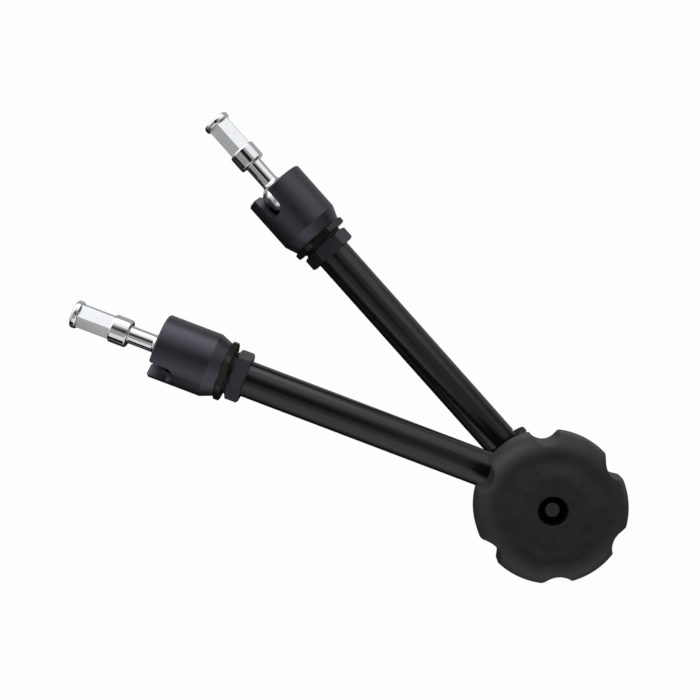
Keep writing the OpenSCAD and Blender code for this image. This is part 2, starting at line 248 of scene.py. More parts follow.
def edges_of(mesh, least_angle):
    """Edges of a bmesh whose two faces meet at more than the least angle, in degrees."""
    limit = math.radians(least_angle)
    return [e for e in mesh.edges if len(e.link_faces) == 2 and e.calc_face_angle(0) > limit]


def tidy_normals(mesh):
    """Merges doubled points, then turns every face outwards."""
    bmesh.ops.remove_doubles(mesh, verts=mesh.verts, dist=WELD)
    bmesh.ops.dissolve_degenerate(mesh, edges=mesh.edges, dist=WELD)
    bmesh.ops.recalc_face_normals(mesh, faces=mesh.faces)


def soften(mesh, width, segments=2, least_angle=18):
    """Rounds the sharp edges of a bmesh."""
    bmesh.ops.bevel(
        mesh,
        geom=edges_of(mesh, least_angle),
        offset=width,
        offset_type="OFFSET",
        segments=segments,
        profile=0.5,
        affect="EDGES",
        clamp_overlap=True,
        material=-1,
    )


def turned(outline, steps=STEPS, ring=True):
    """A bmesh turned about X from [station, radius] points; a ring's outline closes on itself."""
    mesh = bmesh.new()
    points = [mesh.verts.new((x, 0, r)) for x, r in outline]
    pairs = zip(points, points[1:] + points[:1]) if ring else zip(points, points[1:])
    edges = [mesh.edges.new(pair) for pair in pairs]
    bmesh.ops.spin(
        mesh,
        geom=points + edges,
        cent=(0, 0, 0),
        axis=(1, 0, 0),
        dvec=(0, 0, 0),
        angle=FULL_TURN,
        steps=steps,
        use_merge=True,
    )
    tidy_normals(mesh)
    return mesh


def bar(start, end, radius, steps=STEPS):
    """A plain round bar along X, as a cutter."""
    return turned([(start, 0), (start, radius), (end, radius), (end, 0)], steps, ring=False)


def hexagon(start, end, across_flats, turn):
    """A hexagonal bar along X, with one corner turned from the knob's side."""
    mesh = bmesh.new()
    corner_r = across_flats / 2 / math.cos(math.pi / 6)
    made = bmesh.ops.create_circle(mesh, cap_ends=True, segments=6, radius=corner_r)
    bmesh.ops.rotate(mesh, verts=made["verts"], cent=(0, 0, 0), matrix=Matrix.Rotation(math.pi / 2, 3, "Y"))
    at_corner = math.atan2(made["verts"][0].co.y, made["verts"][0].co.z)
    bmesh.ops.rotate(
        mesh,
        verts=mesh.verts,
        cent=(0, 0, 0),
        matrix=Matrix.Rotation(math.radians(turn) + at_corner, 3, "X"),
    )
    bmesh.ops.translate(mesh, verts=mesh.verts, vec=(start, 0, 0))
    made = bmesh.ops.extrude_face_region(mesh, geom=mesh.faces[:])
    moved = [item for item in made["geom"] if isinstance(item, bmesh.types.BMVert)]
    bmesh.ops.translate(mesh, verts=moved, vec=(end - start, 0, 0))
    bmesh.ops.recalc_face_normals(mesh, faces=mesh.faces)
    return mesh


def as_object(mesh, name):
    """Puts a bmesh into a new object of the scene, and frees it."""
    data = bpy.data.meshes.new(name)
    mesh.to_mesh(data)
    mesh.free()
    made = bpy.data.objects.new(name, data)
    bpy.context.scene.collection.objects.link(made)
    return made


def through_modifiers(holder):
    """The bmesh that an object's modifiers give; the object itself is removed."""
    bpy.context.view_layer.update()
    seen = holder.evaluated_get(bpy.context.evaluated_depsgraph_get())
    mesh = bmesh.new()
    mesh.from_mesh(seen.to_mesh())
    seen.to_mesh_clear()
    bpy.data.objects.remove(holder)
    return mesh


def carved(mesh, tool, operation="DIFFERENCE"):
    """A bmesh cut by, joined to or kept within a tool's bmesh."""
    holder = as_object(mesh, "blank")
    cutter = as_object(tool, "tool")
    step = holder.modifiers.new("cut", "BOOLEAN")
    step.operation = operation
    step.solver = "EXACT"
    step.object = cutter
    made = through_modifiers(holder)
    bpy.data.objects.remove(cutter)
    tidy_normals(made)
    return made


def cast(mesh, voxel, rounding):
    """A bmesh with its edges and corners run together, as in a casting or moulding."""
    holder = as_object(mesh, "blank")
    step = holder.modifiers.new("cast", "REMESH")
    step.mode = "VOXEL"
    step.voxel_size = voxel
    step.adaptivity = 0
    made = through_modifiers(holder)
    # One round of smoothing moves a sharp edge in by about a third of a voxel
    for _ in range(max(1, round(3 * (rounding / voxel) ** 2 / 2))):
        bmesh.ops.smooth_vert(
            made, verts=made.verts, factor=0.5, use_axis_x=True, use_axis_y=True, use_axis_z=True
        )
    return made


def finished(mesh, name, place, body, material, nodes=(), sharp_angle=38):
    """Places a millimetre bmesh in the row frame as a piece that rides on its CAD body."""
    bmesh.ops.transform(mesh, matrix=place, verts=mesh.verts)
    bmesh.ops.recalc_face_normals(mesh, faces=mesh.faces)
    piece = as_object(mesh, name)
    piece.data.materials.append(material)
    piece.data.shade_smooth()
    piece.data.set_sharp_from_angle(angle=math.radians(sharp_angle))
    flats = piece.modifiers.new("flat faces", "WEIGHTED_NORMAL")
    flats.keep_sharp = True
    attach(piece, body)
    if nodes:
        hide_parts(*nodes)
    return piece


def ridges(start, end, radius, pitch):
    """[station, radius] points of a fine thread's crests and roots, from start to end."""
    depth = 0.54 * pitch
    flat = pitch / 8
    points = []
    station = start
    while station + pitch <= end:
        points += [
            (station, radius - depth),
            (station + pitch / 2 - flat, radius),
            (station + pitch / 2 + flat, radius),
        ]
        station += pitch
    points.append((station, radius - depth))
    return points


def add(tree, kind, sockets=None, **settings):
    """Adds a node with its settings; each socket gets a value or a link from another socket."""
    made = tree.nodes.new(kind)
    for key, value in settings.items():
        setattr(made, key, value)
    for key, value in (sockets or {}).items():
        if isinstance(value, bpy.types.NodeSocket):
            tree.links.new(value, made.inputs[key])
        else:
            made.inputs[key].default_value = value
    return made


def new_material(name):
    """A material with an empty node tree, and its object coordinates in millimetres."""
    material = bpy.data.materials.new(name)
    material.use_nodes = True
    tree = material.node_tree
    tree.nodes.clear()
    place = add(tree, "ShaderNodeTexCoord").outputs["Object"]
    scale = 1 / MILLIMETRE
    inches = add(tree, "ShaderNodeMapping", {"Vector": place, "Scale": (scale, scale, scale)})
    return material, tree, inches.outputs["Vector"]


def along_arm(tree, place, arm):
    """Coordinates in millimetres whose X runs along an arm."""
    turn = math.radians(ARM_ANGLE) if arm == "rear" else 0
    return add(tree, "ShaderNodeMapping", {"Vector": place, "Rotation": (0, 0, turn)}).outputs["Vector"]


def noise(tree, place, size, detail=2.0, roughness=0.5):
    """Noise whose blobs are about that many millimetres across."""
    made = add(
        tree,
        "ShaderNodeTexNoise",
        {"Vector": place, "Scale": 1 / size, "Detail": detail, "Roughness": roughness},
    )
    return made.outputs["Fac"]


def between(tree, factor, low, high):
    """A factor spread from one value to another."""
    made = add(
        tree,
        "ShaderNodeMapRange",
        {"Value": factor, "From Min": 0.25, "From Max": 0.75, "To Min": low, "To Max": high},
    )
    return made.outputs["Result"]


def shaded(colour, share):
    """A colour made lighter or darker by a share."""
    return (*[min(1.0, c * share) for c in colour[:3]], 1.0)


def mottled(tree, factor, colour, darker, lighter):
    """A colour that wanders between a darker and a lighter share of itself."""
    made = add(
        tree,
        "ShaderNodeMix",
        {"Factor": factor, "A": shaded(colour, darker), "B": shaded(colour, lighter)},
        data_type="RGBA",
    )
    return made


def mixed_colour(tree, factor, first, second):
    """Mixes two colours by a factor."""
    made = add(tree, "ShaderNodeMix", data_type="RGBA")
    for socket, value in ((made.inputs[0], factor), (made.inputs[6], first), (made.inputs[7], second)):
        if isinstance(value, bpy.types.NodeSocket):
            tree.links.new(value, socket)
        else:
            socket.default_value = value
    return made.outputs[2]


def close(tree, **sockets):
    """The surface shader, with its constants on its own sockets, and the output."""
    names = {key.replace("_", " ").title().replace("Ior", "IOR"): value for key, value in sockets.items()}
    shader = add(tree, "ShaderNodeBsdfPrincipled", names)
    add(tree, "ShaderNodeOutputMaterial", {"Surface": shader.outputs["BSDF"]})


def bump(tree, height, depth, normal=None):
    """A bump whose height runs over a depth in millimetres."""
    sockets = {"Height": height, "Strength": 1.0, "Distance": depth * MILLIMETRE}
    if normal is not None:
        sockets["Normal"] = normal
    return add(tree, "ShaderNodeBump", sockets).outputs["Normal"]


def bead_blasted_anodised(arm, colour):
    """Turned aluminium, bead blasted and dyed black: a satin with a broad soft highlight."""
    material, tree, place = new_material(f"bead_blasted_anodised_aluminium_{arm}")
    along = along_arm(tree, place, arm)
    # Bead marks are 0.1 mm across on the real part and drawn at 0.35 mm, so that they show
    beads = noise(tree, place, 0.35, detail=3.0)
    # Tool marks left by the lathe run round the part, 0.8 mm apart along it
    rings_place = add(tree, "ShaderNodeMapping", {"Vector": along, "Scale": (1, 0.02, 0.02)}).outputs["Vector"]
    rings = noise(tree, rings_place, 0.8)
    handling = noise(tree, place, 14.0, detail=4.0, roughness=0.6)
    speckled = mixed_colour(tree, beads, shaded(colour, 0.7), shaded(colour, 1.3))
    base = mixed_colour(tree, handling, speckled, shaded(colour, 1.15))
    rough = between(tree, handling, 0.32, 0.4)
    normal = bump(tree, rings, 0.004, bump(tree, beads, 0.012))
    tint = (0.86, 0.86, 1.0, 1.0)
    close(
        tree, base_color=base, roughness=rough, metallic=0.0, ior=1.7, specular_tint=tint, normal=normal
    )
    return material


def bright_anodised(arm, colour):
    """Drawn aluminium tube, bright dipped and dyed black: a deep gloss with faint lengthwise draw lines."""
    material, tree, place = new_material(f"bright_anodised_tube_{arm}")
    along = along_arm(tree, place, arm)
    lines_place = add(tree, "ShaderNodeMapping", {"Vector": along, "Scale": (0.01, 1, 1)}).outputs["Vector"]
    lines = noise(tree, lines_place, 0.7, detail=3.0)
    handling = noise(tree, place, 18.0, detail=4.0, roughness=0.6)
    base = mixed_colour(tree, handling, shaded(colour, 0.85), shaded(colour, 1.2))
    rough = between(tree, handling, 0.2, 0.26)
    normal = bump(tree, lines, 0.0015)
    close(tree, base_color=base, roughness=rough, metallic=0.0, ior=1.5, normal=normal)
    return material


def black_oxide(colour):
    """Turned steel, blackened in a bath: brownish, rubbed brighter in patches."""
    material, tree, place = new_material("black_oxide_steel")
    patches = noise(tree, place, 3.5, detail=4.0, roughness=0.65)
    grain = noise(tree, place, 0.4, detail=3.0)
    base = mixed_colour(tree, patches, shaded(colour, 0.7), shaded(colour, 1.5))
    rough = between(tree, patches, 0.18, 0.3)
    normal = bump(tree, grain, 0.006)
    close(tree, base_color=base, roughness=rough, metallic=0.8, normal=normal)
    return material


def painted_casting(colour):
    """Die-cast aluminium under black powder coat: satin, with a low orange peel."""
    material, tree, place = new_material("powder_coated_casting")
    peel = noise(tree, place, 1.1, detail=2.0)
    pores = noise(tree, place, 0.35, detail=3.0)
    cloud = noise(tree, place, 12.0, detail=3.0)
    base = mixed_colour(tree, cloud, shaded(colour, 0.9), shaded(colour, 1.15))
    rough = between(tree, cloud, 0.44, 0.54)
    normal = bump(tree, pores, 0.006, bump(tree, peel, 0.02))
    close(tree, base_color=base, roughness=rough, metallic=0.0, ior=1.5, normal=normal)
    return material


def polished_chrome(arm, colour):
    """Bright chrome over polished steel: a mirror with faint polishing lines and smudges."""
    material, tree, place = new_material(f"polished_chrome_plate_{arm}")
    along = along_arm(tree, place, arm)
    rings_place = add(tree, "ShaderNodeMapping", {"Vector": along, "Scale": (1, 0.02, 0.02)}).outputs["Vector"]
    rings = noise(tree, rings_place, 0.5)
    smudge = noise(tree, place, 6.0, detail=4.0)
    base = mixed_colour(tree, smudge, shaded(colour, 0.96), shaded(colour, 1.04))
    rough = between(tree, smudge, 0.05, 0.09)
    normal = bump(tree, rings, 0.0015)
    close(tree, base_color=base, roughness=rough, metallic=1.0, normal=normal)
    return material


def milled_chrome(arm, colour):
    """Milled flats under thin chrome: fine lengthwise lines make them satin and paler."""
    material, tree, place = new_material(f"milled_chrome_flats_{arm}")
    along = along_arm(tree, place, arm)
    # Mill marks run along the arm, 0.3 mm apart on the real part and drawn at 1.1 mm, so that they show
    lines_place = add(tree, "ShaderNodeMapping", {"Vector": along, "Scale": (0.02, 1, 1)}).outputs["Vector"]
    lines = noise(tree, lines_place, 1.1)
    cloud = noise(tree, place, 5.0, detail=3.0)
    base = mixed_colour(tree, cloud, shaded(colour, 1.05), shaded(colour, 1.15))
    rough = between(tree, lines, 0.22, 0.3)
    normal = bump(tree, lines, 0.0006)
    close(tree, base_color=base, roughness=rough, metallic=0.8, normal=normal)
    return material


def moulded_knob(colour):
    """Glass-filled nylon from a spark-eroded mould: matt, with an even fine grain."""
    material, tree, place = new_material("grained_nylon")
    # The mould's grain is 0.15 mm and drawn at 0.45 mm, so that it shows
    grain = noise(tree, place, 0.45, detail=4.0, roughness=0.7)
    # Handling leaves paler, shinier clouds a centimetre across, with ragged edges
    cloud = noise(tree, place, 9.0, detail=6.0, roughness=0.68)
    speckled = mixed_colour(tree, grain, shaded(colour, 0.45), shaded(colour, 1.5))
    smudged = mixed_colour(tree, between(tree, cloud, 0.0, 1.0), speckled, from_hex("#221f1d"))
    # The rim is painted paler than the face: painted sheen where light grazes the rim, with some wear from hands
    axis = add(
        tree, "ShaderNodeVectorMath", {0: place, 1: (ELBOW_X, 0, 0)}, operation="ADD"
    ).outputs["Vector"]
    flat = add(tree, "ShaderNodeVectorMath", {0: axis, 1: (1, 1, 0)}, operation="MULTIPLY").outputs["Vector"]
    from_axis = add(tree, "ShaderNodeVectorMath", {0: flat}, operation="LENGTH").outputs["Value"]
    rim_wear_and_sheen = add(
        tree,
        "ShaderNodeMapRange",
        {"Value": from_axis, "From Min": KNOB_D / 2 - KNOB_ROUND, "From Max": KNOB_D / 2},
        interpolation_type="SMOOTHSTEP",
    ).outputs["Result"]
    # The rim takes its paler colour here: painted sheen, with some wear
    base = mixed_colour(tree, rim_wear_and_sheen, smudged, from_hex("#32312f"))
    rough = between(tree, cloud, 0.54, 0.42)
    tint = mixed_colour(tree, between(tree, cloud, 0.0, 1.0), (0.62, 0.74, 0.84, 1.0), (1.0, 0.96, 0.93, 1.0))
    normal = bump(tree, grain, 0.05)
    close(
        tree, base_color=base, roughness=rough, metallic=0.0, ior=1.42, specular_tint=tint, normal=normal
    )
    return material


def turned_metal(name, code, roughness, grain_size=0.3, grain_depth=0.01):
    """Machined metal: slightly cloudy, with a grain left by the tool or the bath."""
    material, tree, place = new_material(name)
    cloud = noise(tree, place, 2.5, detail=4.0)
    grain = noise(tree, place, grain_size, detail=3.0)
    colour = from_hex(code)
    base = mixed_colour(tree, cloud, shaded(colour, 0.75), shaded(colour, 1.2))
    rough = between(tree, cloud, roughness - 0.06, roughness + 0.08)
    normal = bump(tree, grain, grain_depth)
    close(tree, base_color=base, roughness=rough, metallic=1.0, normal=normal)
    return material


def pressed_fibre():
    """Bonded friction fibre: matt brown with short dark and pale fibres."""
    material, tree, place = new_material("bonded_friction_fibre")
    fibres_place = add(tree, "ShaderNodeMapping", {"Vector": place, "Scale": (0.3, 1, 1)}).outputs["Vector"]
    fibres = noise(tree, fibres_place, 0.5, detail=5.0, roughness=0.7)
    colour = from_hex("#6a4a33")
    base = mixed_colour(tree, fibres, shaded(colour, 0.55), shaded(colour, 1.4))
    normal = bump(tree, fibres, 0.04)
    close(tree, base_color=base, roughness=0.85, metallic=0.0, normal=normal)
    return material


FINISHES = {}


def sizes():
    return bpy.context.scene.friction_arm_sizes


class FinishOperator(bpy.types.Operator):
    """Make the finishes, and put them on the CAD parts that keep their own mesh"""

    bl_idname = "friction_arm.finishes"
    bl_label = "Finishes"

    def execute(self, context):
        colours = context.scene.friction_arm_colours
        for arm in ARMS:
            FINISHES[f"anodised_{arm}"] = bead_blasted_anodised(arm, colours.anodised)
            FINISHES[f"tube_{arm}"] = bright_anodised(arm, colours.tube)
            FINISHES[f"chrome_{arm}"] = polished_chrome(arm, colours.chrome)
            FINISHES[f"flats_{arm}"] = milled_chrome(arm, colours.chrome)
        FINISHES["black_oxide"] = black_oxide(colours.oxide)
        FINISHES["casting"] = painted_casting(colours.casting)
        FINISHES["knob"] = moulded_knob(colours.knob)
        # The bolt's sawn end is dented by the tool that set it, dents about a millimetre across
        FINISHES["plated_steel"] = turned_metal("phosphated_bolt_steel", "#3c3c3d", 0.26, 1.3, 0.3)
        FINISHES["hub_steel"] = turned_metal("phosphated_hub_steel", "#101010", 0.5)
        FINISHES["lock_steel"] = turned_metal("blackened_nut_steel", "#2a2926", 0.3)
        FINISHES["ground_steel"] = turned_metal("ground_steel", "#9da1a6", 0.22)
        FINISHES["bronze"] = turned_metal("machined_bronze", "#a9793f", 0.3)
        FINISHES["ball"] = turned_metal("satin_chrome_ball", "#dfe0e1", 0.2)
        FINISHES["friction_fibre"] = pressed_fibre()
        for slot, names in KEPT_NODES.items():
            for name in names:
                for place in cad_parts[name].material_slots:
                    place.material = FINISHES[slot]
        return {"FINISHED"}


def spigot_pieces(arm):
    """The stud: a turned bar with its neck, collar and head, and the milled waist between them."""
    edge = sizes().edge_break
    flat_x = ARM_L + math.sqrt((BALL_D / 2) ** 2 - (SHOULDER_D / 2) ** 2) + RUN_GAP
    stem_x = ARM_L - math.sqrt((BALL_D / 2) ** 2 - (STEM_D / 2) ** 2)
    neck_r = NECK_D / 2
    shoulder_r = SHOULDER_D / 2
    flare_l = 1.5
    collar_r = SPIGOT_D / 2
    flare = [
        (flat_x + flare_l * t, neck_r + (shoulder_r - neck_r) * (1 - t) ** 2) for t in (0, 0.25, 0.5, 0.75, 1)
    ]
    stud = turned(
        [(stem_x, 0), (stem_x, STEM_D / 2), (flat_x, STEM_D / 2), *flare]
        + [
            (COLLAR_X, neck_r),
            (COLLAR_X, collar_r - SPIGOT_CHAMFER),
            (COLLAR_X + SPIGOT_CHAMFER, collar_r),
            (WAIST_X - SPIGOT_CHAMFER, collar_r),
            (WAIST_X, collar_r - SPIGOT_CHAMFER),
            (WAIST_X, 0),
        ],
        ring=False,
    )
    soften(stud, edge, segments=3)
    finished(
        stud,
        f"{arm}_stud_collar",
        PLACES[arm],
        f"{arm}_stud",
        FINISHES[f"chrome_{arm}"],
        [f"{arm}_spigot"],
    )
    end_x = HEAD_X + HEAD_L
    head = turned(
        [
            (HEAD_X + HEAD_CONE_L / 3, 0),
            (HEAD_X + HEAD_CONE_L / 3, WAIST_AF / 2),
            (HEAD_X + HEAD_CONE_L, collar_r),
            (end_x - SPIGOT_CHAMFER, collar_r),
            (end_x, collar_r - SPIGOT_CHAMFER),
            (end_x, 0),
        ],
        ring=False,
    )
    soften(head, 2 * edge, segments=3)
    finished(
        head,
        f"{arm}_stud_head",
        PLACES[arm],
        f"{arm}_stud",
        FINISHES[f"chrome_{arm}"],
    )
    waist = hexagon(WAIST_X - CUT, HEAD_X + HEAD_CONE_L, WAIST_AF, 0)
    soften(waist, edge / 2)
    finished(
        waist,
        f"{arm}_stud_waist",
        PLACES[arm],
        f"{arm}_stud",
        FINISHES[f"flats_{arm}"],
    )


def ball_arc(radius, from_x, to_x, steps):
    """[station, radius] points on a sphere about the ball's centre, between two stations."""
    first = math.acos(from_x / radius)
    last = math.acos(to_x / radius)
    angles = [first + (last - first) * i / steps for i in range(steps + 1)]
    return [(ARM_L + radius * math.cos(a), radius * math.sin(a)) for a in angles]


def ball_piece(arm):
    """The ball: turned and polished, bored for the stem, with a flat for the stud's shoulder."""
    ball_r = BALL_D / 2
    bore_r = STEM_D / 2 + RUN_GAP
    back_x = -math.sqrt(ball_r**2 - bore_r**2)
    flat_x = math.sqrt(ball_r**2 - (SHOULDER_D / 2) ** 2)
    ball = turned([*ball_arc(ball_r, back_x, flat_x, 48), (ARM_L + flat_x, bore_r)])
    finished(
        ball,
        f"{arm}_swivel_sphere",
        PLACES[arm],
        f"{arm}_swivel_ball",
        FINISHES["ball"],
        [f"{arm}_ball"],
    )


class StudOperator(bpy.types.Operator):
    """Turn and mill the two studs and their swivel balls"""

    bl_idname = "friction_arm.studs"
    bl_label = "Studs and balls"

    def execute(self, context):
        for arm in ARMS:
            spigot_pieces(arm)
            ball_piece(arm)
        return {"FINISHED"}


def socket_piece(arm, slot_turn):
    """The socket: a turned cup whose mouth holds the ball, milled with one round-ended slot."""
    bore_r = SOCKET_THREAD_D / 2 + SEAT_GAP
    lip_r = BALL_D / 2 + 2 * RUN_GAP
    mouth_r = MOUTH_D / 2
    mouth_x = math.sqrt(lip_r**2 - mouth_r**2)
    cup = turned(
        [
            (CONE_END_X, bore_r),
            (CONE_END_X, SOCKET_CONE_D / 2),
            (CONE_EDGE_X, SOCKET_D / 2),
            (FACE_X - MOUTH_CHAMFER, SOCKET_D / 2),
            (FACE_X, SOCKET_D / 2 - MOUTH_CHAMFER),
            (FACE_X, mouth_r + MOUTH_CHAMFER),
            (FACE_X - MOUTH_CHAMFER, mouth_r),
            *ball_arc(lip_r, mouth_x, 0, 10),
            (ARM_L, bore_r),
        ],
        FINE_STEPS,
    )
    slot_end_x = FACE_X - SLOT_DEPTH + SLOT_W / 2
    turn = Matrix.Rotation(-math.radians(slot_turn), 4, "X")
    round_end = bar(0, SOCKET_D, SLOT_W / 2, 64)
    bmesh.ops.transform(
        round_end, matrix=turn @ Matrix.Translation((slot_end_x, 0, 0)) @ UPRIGHT, verts=round_end.verts
    )
    channel = bmesh.new()
    bmesh.ops.create_cube(channel, size=1)
    bmesh.ops.scale(channel, vec=(SLOT_DEPTH, SLOT_W, SOCKET_D), verts=channel.verts)
    centre = Matrix.Translation((slot_end_x + SLOT_DEPTH / 2, 0, SOCKET_D / 2))
    bmesh.ops.transform(channel, matrix=turn @ centre, verts=channel.verts)
    cup = carved(carved(cup, channel), round_end)
    soften(cup, sizes().edge_break)
    finished(
        cup,
        f"{arm}_ball_cup",
        PLACES[arm],
        f"{arm}_arm",
        FINISHES[f"anodised_{arm}"],
        [f"{arm}_socket"],
    )


class SocketOperator(bpy.types.Operator):
    """Turn the two ball sockets and mill their slots"""

    bl_idname = "friction_arm.sockets"
    bl_label = "Ball sockets"

    def execute(self, context):
        for arm, turns in ARMS.items():
            socket_piece(arm, turns["slot"])
        return {"FINISHED"}


def nut(start, end, across_flats, diameter, bevel, bore_r, turn):
    """A hexagonal nut with turned-down corners, chamfered rims and a bore."""
    blank = hexagon(start, end, across_flats, turn)
    envelope = turned(
        [
            (start, 0),
            (start, diameter / 2 - bevel),
            (start + bevel / 2, diameter / 2),
            (end - bevel / 2, diameter / 2),
            (end, diameter / 2 - bevel),
            (end, 0),
        ],
        ring=False,
    )
    made = carved(carved(blank, envelope, "INTERSECT"), bar(start - CUT, end + CUT, bore_r))
    soften(made, sizes().edge_break)
    return made


class NutOperator(bpy.types.Operator):
    """Mill the thin nuts, the end fittings' hexagons and the lock nuts at the elbow"""

    bl_idname = "friction_arm.nuts"
    bl_label = "Nuts and end fittings"

    def execute(self, context):
        socket_bore_r = SOCKET_THREAD_D / 2 + SEAT_GAP
        for arm, turns in ARMS.items():
            body = f"{arm}_arm"
            jam = nut(
                JAM_X + SEAT_GAP, CONE_END_X - SEAT_GAP, JAM_AF, JAM_D, JAM_L / 4, socket_bore_r, turns["jam"]
            )
            finished(
                jam, f"{arm}_thin_nut", PLACES[arm], body, FINISHES["black_oxide"],
                [f"{arm}_jam_nut"],
            )
            fitting = nut(
                HEX_REAR_X, HEX_FRONT_X, FITTING_AF, FITTING_D, FITTING_CHAMFER, TUBE_D / 2 + SEAT_GAP,
                turns["fitting"],
            )
            finished(
                fitting, f"{arm}_fitting_hexagon", PLACES[arm], body,
                FINISHES[f"anodised_{arm}"], [f"{arm}_end_fitting"],
            )
            thread = turned(
                [
                    (HEX_FRONT_X - CUT, TUBE_D / 2 + SEAT_GAP),
                    *ridges(HEX_FRONT_X - CUT, NOSE_X - CUT, SOCKET_THREAD_D / 2, sizes().thread_pitch),
                    (NOSE_X, SOCKET_THREAD_D / 2 - CUT),
                    (NOSE_X, ROD_D / 2 + RUN_GAP),
                    (TUBE_END_X + SEAT_GAP, ROD_D / 2 + RUN_GAP),
                    (TUBE_END_X + SEAT_GAP, TUBE_D / 2 + SEAT_GAP),
                ]
            )
            finished(
                thread, f"{arm}_fitting_thread", PLACES[arm], body,
                FINISHES[f"anodised_{arm}"],
            )
            lock = nut(
                BOSS_REACH + SEAT_GAP, BOSS_REACH + LOCK_L, LOCK_AF, LOCK_D, LOCK_L / 4,
                TUBE_THREAD_D / 2 + SEAT_GAP, turns["lock"],
            )
            finished(
                lock, f"{arm}_elbow_nut", PLACES[arm], body, FINISHES["lock_steel"],
                [f"{arm}_lock_nut"],
            )
        return {"FINISHED"}


class TubeOperator(bpy.types.Operator):
    """Turn the two tubes, with their threaded ends"""

    bl_idname = "friction_arm.tubes"
    bl_label = "Tubes"

    def execute(self, context):
        for arm in ARMS:
            tube = turned(
                [
                    (TUBE_START_X, TUBE_BORE_D / 2),
                    *ridges(TUBE_START_X, TUBE_STEP_X, TUBE_THREAD_D / 2, sizes().thread_pitch),
                    (TUBE_STEP_X, TUBE_THREAD_D / 2),
                    (TUBE_STEP_X, TUBE_D / 2),
                    (TUBE_END_X, TUBE_D / 2),
                    (TUBE_END_X, TUBE_BORE_D / 2),
                ]
            )
            finished(
                tube, f"{arm}_arm_tube", PLACES[arm], f"{arm}_arm",
                FINISHES[f"tube_{arm}"], [f"{arm}_tube"],
            )
        return {"FINISHED"}


def standing_bar(base, top, radius, steps=STEPS):
    """A plain round bar along Z, as a cutter."""
    made = bar(base, top, radius, steps)
    bmesh.ops.transform(made, matrix=UPRIGHT, verts=made.verts)
    return made


def elbow_half(pivot_hole_r):
    """One elbow half as cast: a drum run into its boss, bored for the cone, the bush and the tube."""
    drum = turned(
        [
            (JOINT_H, 0),
            (JOINT_H, DRUM_D / 2),
            (DRUM_TOP - 2, DRUM_D / 2),
            (DRUM_TOP, DRUM_D / 2 - 2),
            (DRUM_TOP, 0),
        ],
        ring=False,
    )
    bmesh.ops.transform(drum, matrix=UPRIGHT, verts=drum.verts)
    made = carved(drum, bar(0, BOSS_REACH, BOSS_D / 2), "UNION")
    made = carved(made, standing_bar(JOINT_H + FLOOR_L, ARM_OFFSET, CONE_BORE_D / 2))
    made = carved(made, standing_bar(DRUM_TOP - CAP_L, ARM_OFFSET, CAP_D / 2 + SEAT_GAP))
    made = carved(made, standing_bar(JOINT_H - CUT, ARM_OFFSET, pivot_hole_r))
    made = carved(made, bar(TUBE_START_X - SEAT_GAP, BOSS_REACH + CUT, TUBE_THREAD_D / 2 + SEAT_GAP))
    return carved(made, bar(0, BOSS_REACH, TUBE_BORE_D / 2))


class ElbowOperator(bpy.types.Operator):
    """Cast the two elbow halves and turn the cap under them"""

    bl_idname = "friction_arm.elbow"
    bl_label = "Elbow"

    def execute(self, context):
        voxel = 0.5
        fillet = 0.7
        front = cast(elbow_half(BUSH_D / 2 + SEAT_GAP), voxel, fillet)
        finished(
            front, "front_elbow_casting", FRONT, "front_arm", FINISHES["casting"],
            ["front_elbow_half"],
        )
        rear = cast(elbow_half(BUSH_D / 2 + RUN_GAP), voxel, fillet)
        finished(
            rear, "rear_elbow_casting", REAR @ MIRRORED, "rear_arm", FINISHES["casting"],
            ["rear_elbow_half"],
        )
        cap = turned(
            [
                (DRUM_TOP - CAP_L, 0),
                (DRUM_TOP - CAP_L, CAP_D / 2),
                (DRUM_TOP, CAP_D / 2),
                (DRUM_TOP, 0),
            ],
            ring=False,
        )
        soften(cap, sizes().edge_break)
        bmesh.ops.transform(cap, matrix=UPRIGHT, verts=cap.verts)
        finished(
            cap, "rear_elbow_cap", REAR @ MIRRORED, "rear_arm", FINISHES["casting"],
            ["rear_cap"],
        )
        return {"FINISHED"}


def curve(centre, radius, first, last, steps=14):
    """Points on a circle's arc between two angles in degrees, as [height, radius from the axis]."""
    made = []
    for i in range(steps + 1):
        angle = math.radians(first + (last - first) * i / steps)
        made.append((centre[1] + radius * math.sin(angle), centre[0] + radius * math.cos(angle)))
    return made


def knob_outline():
    """The knob's section from its collar over the rim to the dish, as if it had no bore."""
    crest_r = KNOB_D / 2 - KNOB_ROUND
    waves = 16
    dish = [
        (
            CREST_TOP - DISH_DEPTH * (1 - math.cos(math.pi * i / waves)) / 2,
            crest_r + (DISH_D / 2 - crest_r) * i / waves,
        )
        for i in range(1, waves + 1)
    ]
    return [
        (KNOB_FOOT, 0),
        (KNOB_FOOT, KNOB_COLLAR_D / 2),
        *curve((KNOB_COLLAR_D / 2 + KNOB_FILLET, KNOB_UNDER - KNOB_FILLET), KNOB_FILLET, 180, 90),
        *curve((KNOB_D / 2 - KNOB_UNDER_ROUND, KNOB_UNDER + KNOB_UNDER_ROUND), KNOB_UNDER_ROUND, 270, 360),
        *curve((crest_r, KNOB_MID), KNOB_ROUND, 0, 90),
        *dish,
        (CREST_TOP - DISH_DEPTH, 0),
    ]


def knob_core():
    """What is cut out of the knob: the hub's pocket, the bore over it and the bore's chamfer."""
    floor_z = CREST_TOP - DISH_DEPTH
    bore_r = KNOB_BORE_D / 2
    core = turned(
        [
            (KNOB_FOOT - CUT, 0),
            (KNOB_FOOT - CUT, HUB_D / 2 + SEAT_GAP),
            (HUB_TOP + SEAT_GAP, HUB_D / 2 + SEAT_GAP),
            (HUB_TOP + SEAT_GAP, bore_r),
            (floor_z - KNOB_BORE_CHAMFER, bore_r),
            (floor_z + CUT, bore_r + KNOB_BORE_CHAMFER + CUT),
            (floor_z + CUT, 0),
        ],
        ring=False,
    )
    bmesh.ops.transform(core, matrix=UPRIGHT, verts=core.verts)
    return core


